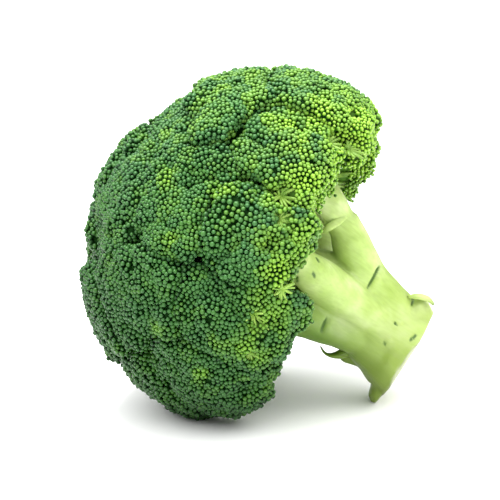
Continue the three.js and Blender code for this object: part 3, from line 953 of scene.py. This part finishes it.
# Floret core: the imported stalklets and bud feet. Where seen between the buds it is painted dark
# green as painted shade; under the rim it is paler flesh.
core_skin, tree, shader = new_material(
    "packed bud feet", {"Roughness": 0.7, "IOR": 1.4, "Specular IOR Level": 0.15}
)
pale = add(tree, "Attribute", {"attribute_name": "pale"}).outputs["Fac"]
colour = blend(tree, pale, "#0d3406", "#4d7426")
tree.links.new(colour, shader.inputs["Base Color"])

# Stalklets: fresh young stem, smooth, yellow-green and a little glossy, with a mottle of 4.5 mm.
stalklet_skin, tree, shader = new_material(
    "fresh stalklets", {"Roughness": 0.45, "IOR": 1.4, "Subsurface Weight": 0.0}
)
where = add(tree, "TexCoord").outputs["Object"]
mottle = add(tree, "TexNoise", inputs={"Scale": 220.0, "Detail": 2.0}, Vector=where).outputs[0]
colour = ramp(tree, mottle, [(0.35, "#638a2e"), (0.65, "#8aab49")])
tree.links.new(colour, shader.inputs["Base Color"])

for number, floret in enumerate(florets):
    random = np.random.default_rng(700 + number)
    rays = spread_evenly(floret, random, CLUMP_PITCH, 2, 1.2)
    clumps = skin_points(floret, rays)[0]
    rays = spread_evenly(floret, random, CLUSTER_PITCH, 3, 1.3)
    mounds = (clumps, skin_points(floret, rays)[0])
    *buds, lists = bud_arrays(floret, random, mounds)
    *core, pale = core_arrays(floret, mounds)
    stalklets = stalklet_arrays(floret, random, mounds)
    parts = [buds, core] + ([stalklets] if stalklets else [])
    verts, quads, tris = merge(parts)
    verts = lay_down(verts)
    verts[:, 2] = np.maximum(verts[:, 2], 0)
    piece = make_mesh("buds_" + floret.name, verts, quads, tris)
    rest = np.zeros(len(verts) - len(buds[0]))
    lists = {name: np.append(values, rest) for name, values in lists.items()}
    lists["pale"] = np.zeros(len(verts))
    lists["pale"][len(buds[0]) : len(buds[0]) + len(pale)] = pale
    attach(piece, **lists)
    for material in (bud_skin, core_skin, stalklet_skin):
        piece.data.materials.append(material)
    slots = [np.full(len(part[k]), i) for k in (1, 2) for i, part in enumerate(parts)]
    piece.data.polygons.foreach_set("material_index", np.concatenate(slots).astype(np.int32))
    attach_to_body(piece, "root")
    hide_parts("floret_" + floret.name)

# Floor: a plain white table, wide enough to fill the picture.
bpy.ops.mesh.primitive_plane_add(size=10)
table_top = bpy.context.object
table_top.name = "table_top"
paint, tree, shader = new_material("white table", {"Roughness": 0.8})
shader.inputs["Base Color"].default_value = linear("#ffffff")
table_top.data.materials.append(paint)

# Studio: a wide soft light overhead and to the front, a small one from above and the left for the
# highlights, and a dim room that the camera sees as white.
world = bpy.data.worlds.new("studio")
bpy.context.scene.world = world
world.use_nodes = True
backdrop = world.node_tree.nodes["Background"]
backdrop.inputs["Color"].default_value = (1, 1, 1, 1)
seen = add(world.node_tree, "LightPath").outputs["Is Camera Ray"]
room = {"To Min": 0.4, "To Max": 1.0}
seen = add(world.node_tree, "MapRange", inputs=room, _0=seen).outputs[0]
world.node_tree.links.new(seen, backdrop.inputs["Strength"])

for name, spot, size, energy in (
    ("ceiling", (0.3, -2.2, 4.0), 12.0, 1200.0),
    ("highlight", (-0.15, -0.05, 0.9), 0.26, 10.0),
):
    light = bpy.data.lights.new(name, "AREA")
    light.shape = "SQUARE" if name == "ceiling" else "DISK"
    light.size = size
    light.energy = energy
    lamp = bpy.data.objects.new(name, light)
    bpy.context.scene.collection.objects.link(lamp)
    lamp.location = spot
    aim = Vector((0, 0, 1)) if name == "ceiling" else Vector(spot) - Vector((0, 0, 0.06))
    lamp.rotation_euler = aim.to_track_quat("Z", "Y").to_euler()
bpy.context.scene.view_settings.view_transform = "Standard"

# Camera: a long lens at 0.7 m, a little above the table and turned a few degrees, as the
# photograph's framing needs. ASIDE and DOWN are how far right of and below the picture's middle the
# head's middle stands, in pixels of a picture as wide as PICTURE.
AZIMUTH, ELEVATION, ROLL = (math.radians(v) for v in (5.0, 11.0, -2.15))
DISTANCE = 0.7
MM_A_PIXEL = 0.403
PICTURE = 500
SENSOR = 36
ASIDE, DOWN = 7.0, -12.2
back = np.array(
    [
        math.sin(AZIMUTH) * math.cos(ELEVATION),
        -math.cos(AZIMUTH) * math.cos(ELEVATION),
        math.sin(ELEVATION),
    ]
)
level = np.array([math.cos(AZIMUTH), math.sin(AZIMUTH), 0])
upright = np.cross(back, level)
right = math.cos(ROLL) * level + math.sin(ROLL) * upright
up = -math.sin(ROLL) * level + math.cos(ROLL) * upright
target = np.array([0, 0, (cad_box[0][2] + cad_box[1][2]) / 2])
target = target + (-right * ASIDE + up * DOWN) * MM_A_PIXEL / 1000
lens = bpy.data.cameras.new("camera")
lens.sensor_width = SENSOR
lens.lens = SENSOR * DISTANCE / (PICTURE * MM_A_PIXEL / 1000)
camera = bpy.data.objects.new("camera", lens)
bpy.context.scene.collection.objects.link(camera)
turned = Matrix([list(column) for column in np.stack([right, up, back], 1)]).to_4x4()
turned.translation = Vector(target + back * DISTANCE)
camera.matrix_world = turned
bpy.context.scene.camera = camera
